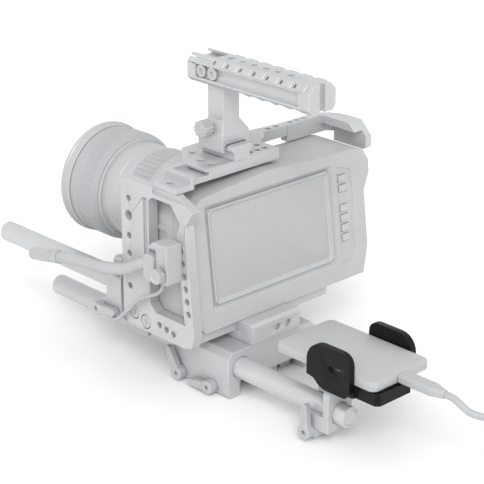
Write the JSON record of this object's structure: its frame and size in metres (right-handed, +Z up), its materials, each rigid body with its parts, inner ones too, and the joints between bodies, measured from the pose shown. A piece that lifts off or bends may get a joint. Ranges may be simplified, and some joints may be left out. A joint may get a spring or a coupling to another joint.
{
  "type": "cinema camera rig",
  "caption": "Compact cinema camera with zoom lens in a cage on a 15 mm rod baseplate, with top handle, rod clamps, drive holder and cables.",
  "frame": {"origin": "centre of the support pad under the baseplate, below the lens axis", "axes": "+Z up, +Y towards the subject along the lens axis, +X towards the hand grip"},
  "size_m": [0.2131, 0.4836, 0.223],
  "materials": {
    "camera_shell": "fine matte grey moulding",
    "cage_metal": "satin bead-blasted grey",
    "lever_metal": "satin grey",
    "rod_metal": "satin anodised",
    "steel": "satin steel",
    "lens_shell": "satin grey",
    "ring_rubber": "matte ribbed rubber",
    "button_rubber": "matte",
    "black_metal": "satin black",
    "dark_plastic": "matte",
    "screen_glass": "switched-off screen behind glass",
    "lens_glass": "coated glass",
    "circuit_board": "green solder mask",
    "cable_jacket": "matte cable jacket"
  },
  "bodies": {
    "rig": {"camera_front_shell": "camera_shell", "camera_rear_cover": "camera_shell", "cable_clamp": "camera_shell", "cage_left_plate": "cage_metal", "cage_bottom_plate": "cage_metal", "cage_top_plate": "cage_metal", "cage_grip_loop": "cage_metal", "nato_rail": "cage_metal", "baseplate": "cage_metal", "quick_release_plate": "cage_metal", "front_clamp": "cage_metal", "near_rod": "rod_metal", "side_rod": "rod_metal", "cage_screw_front": "steel", "cage_screw_rear": "steel", "lens_mount": "steel", "heat_sink": "steel", "video_connector": "steel", "lens_barrel": "lens_shell", "battery_pack": "dark_plastic", "display_glass": "screen_glass", "front_lens": "lens_glass", "main_board": "circuit_board", "image_sensor": "circuit_board", "video_cable": "cable_jacket", "video_plug": "cable_jacket", "thin_lead": "cable_jacket"},
    "zoom_ring": {"zoom_ring": "ring_rubber"},
    "focus_ring": {"focus_ring": "ring_rubber"},
    "base_lever_front": {"base_lever_front": "lever_metal"},
    "base_lever_rear": {"base_lever_rear": "lever_metal"},
    "base_lever_far": {"base_lever_far": "lever_metal"},
    "front_clamp_lever": {"front_clamp_lever": "lever_metal"},
    "drive_holder": {"drive_carriage": "cage_metal", "drive_tray": "black_metal", "drive": "camera_shell", "drive_plug": "cable_jacket", "drive_cable": "cable_jacket", "drive_cable_coil": "cable_jacket"},
    "drive_clamp_lever": {"drive_clamp_lever": "lever_metal"},
    "drive_sliding_jaw": {"drive_sliding_jaw": "black_metal"},
    "top_handle": {"handle_post": "cage_metal", "handle_bar": "cage_metal", "handle_screw_front": "steel", "handle_screw_rear": "steel"},
    "handle_knob": {"handle_knob": "steel"},
    "clamp_knob": {"clamp_knob": "steel"},
    "side_clamp_knob": {"side_clamp_knob": "steel"},
    "battery_door": {"battery_door": "camera_shell"},
    "card_door": {"card_door": "camera_shell"},
    "record_button": {"record_button": "dark_plastic"},
    "front_dial": {"front_dial": "button_rubber"},
    "zoom_button": {"zoom_button": "button_rubber"},
    "focus_button": {"focus_button": "button_rubber"},
    "iris_button": {"iris_button": "button_rubber"},
    "menu_button": {"menu_button": "button_rubber"},
    "frame_rate_button": {"frame_rate_button": "button_rubber"},
    "play_button": {"play_button": "button_rubber"},
    "fan_rotor": {"fan_rotor": "dark_plastic"},
    "far_rod": {"far_rod": "rod_metal"}
  },
  "joints": [
    {"name": "zoom_ring_turn", "type": "hinge", "parent": "rig", "child": "zoom_ring", "pos_m": [0, 0.0693, 0.106], "axis": [0, 1, 0], "range_deg": [-40, 50]},
    {"name": "focus_ring_turn", "type": "hinge", "parent": "rig", "child": "focus_ring", "pos_m": [0, 0.1143, 0.106], "axis": [0, 1, 0], "range_deg": [-120, 120]},
    {"name": "base_lever_front_turn", "type": "hinge", "parent": "rig", "child": "base_lever_front", "pos_m": [-0.0418, 0.021, 0.0056], "axis": [1, 0, 0], "range_deg": [-50, 45]},
    {"name": "base_lever_rear_turn", "type": "hinge", "parent": "rig", "child": "base_lever_rear", "pos_m": [-0.0418, -0.01, 0.0056], "axis": [1, 0, 0], "range_deg": [0, 95]},
    {"name": "base_lever_far_turn", "type": "hinge", "parent": "rig", "child": "base_lever_far", "pos_m": [0.0418, 0.021, 0.0056], "axis": [1, 0, 0], "range_deg": [-50, 45]},
    {"name": "front_clamp_lever_turn", "type": "hinge", "parent": "rig", "child": "front_clamp_lever", "pos_m": [-0.0633, 0.0805, 0.0422], "axis": [1, 0, 0], "range_deg": [-80, 0]},
    {"name": "drive_holder_slide", "type": "slide", "parent": "rig", "child": "drive_holder", "axis": [0, 1, 0], "range_m": [-0.008, 0.03]},
    {"name": "drive_clamp_lever_turn", "type": "hinge", "parent": "drive_holder", "child": "drive_clamp_lever", "pos_m": [-0.0417, -0.102, 0.007], "axis": [1, 0, 0], "range_deg": [0, 95]},
    {"name": "drive_jaw_slide", "type": "slide", "parent": "drive_holder", "child": "drive_sliding_jaw", "axis": [1, 0, 0], "range_m": [0, 0.008]},
    {"name": "top_handle_slide", "type": "slide", "parent": "rig", "child": "top_handle", "axis": [0, 1, 0], "range_m": [-0.005, 0.002]},
    {"name": "handle_knob_turn", "type": "hinge", "parent": "top_handle", "child": "handle_knob", "pos_m": [-0.0126, 0.024, 0.1758], "axis": [1, 0, 0], "continuous": true},
    {"name": "side_clamp_knob_turn", "type": "hinge", "parent": "rig", "child": "side_clamp_knob", "pos_m": [-0.0595, 0.0631, 0.0716], "axis": [0, 0, 1], "continuous": true},
    {"name": "clamp_knob_turn", "type": "hinge", "parent": "rig", "child": "clamp_knob", "pos_m": [-0.0803, -0.0034, 0.0965], "axis": [1, 0, 0], "continuous": true},
    {"name": "battery_door_hinge", "type": "hinge", "parent": "rig", "child": "battery_door", "pos_m": [0.1014, 0.018, 0.0469], "axis": [0, -1, 0], "range_deg": [0, 105]},
    {"name": "card_door_hinge", "type": "hinge", "parent": "rig", "child": "card_door", "pos_m": [0.1094, 0.0434, 0.071], "axis": [0, 0, 1], "range_deg": [0, 100]},
    {"name": "record_button_press", "type": "slide", "parent": "rig", "child": "record_button", "axis": [0, -0.5836, -0.812], "range_m": [0, 0.001], "stiffness_N_per_m": 400},
    {"name": "front_dial_turn", "type": "hinge", "parent": "rig", "child": "front_dial", "pos_m": [0.097, 0.06242, 0.11949], "axis": [1, 0, 0], "continuous": true},
    {"name": "zoom_button_press", "type": "slide", "parent": "rig", "child": "zoom_button", "axis": [0, 0.9921, -0.1253], "range_m": [0, 0.0008], "stiffness_N_per_m": 400},
    {"name": "focus_button_press", "type": "slide", "parent": "rig", "child": "focus_button", "axis": [0, 0.9921, -0.1253], "range_m": [0, 0.0008], "stiffness_N_per_m": 400},
    {"name": "iris_button_press", "type": "slide", "parent": "rig", "child": "iris_button", "axis": [0, 0.9921, -0.1253], "range_m": [0, 0.0008], "stiffness_N_per_m": 400},
    {"name": "menu_button_press", "type": "slide", "parent": "rig", "child": "menu_button", "axis": [0, 0.9921, -0.1253], "range_m": [0, 0.0008], "stiffness_N_per_m": 400},
    {"name": "frame_rate_button_press", "type": "slide", "parent": "rig", "child": "frame_rate_button", "axis": [0, 0.9921, -0.1253], "range_m": [0, 0.0008], "stiffness_N_per_m": 400},
    {"name": "play_button_press", "type": "slide", "parent": "rig", "child": "play_button", "axis": [0, 0.9921, -0.1253], "range_m": [0, 0.0008], "stiffness_N_per_m": 400},
    {"name": "fan_spin", "type": "hinge", "parent": "rig", "child": "fan_rotor", "pos_m": [-0.04, 0.0169, 0.079], "axis": [0, 1, 0], "continuous": true},
    {"name": "far_rod_slide", "type": "slide", "parent": "rig", "child": "far_rod", "axis": [0, 1, 0], "range_m": [-0.02, 0.02]}
  ]
}
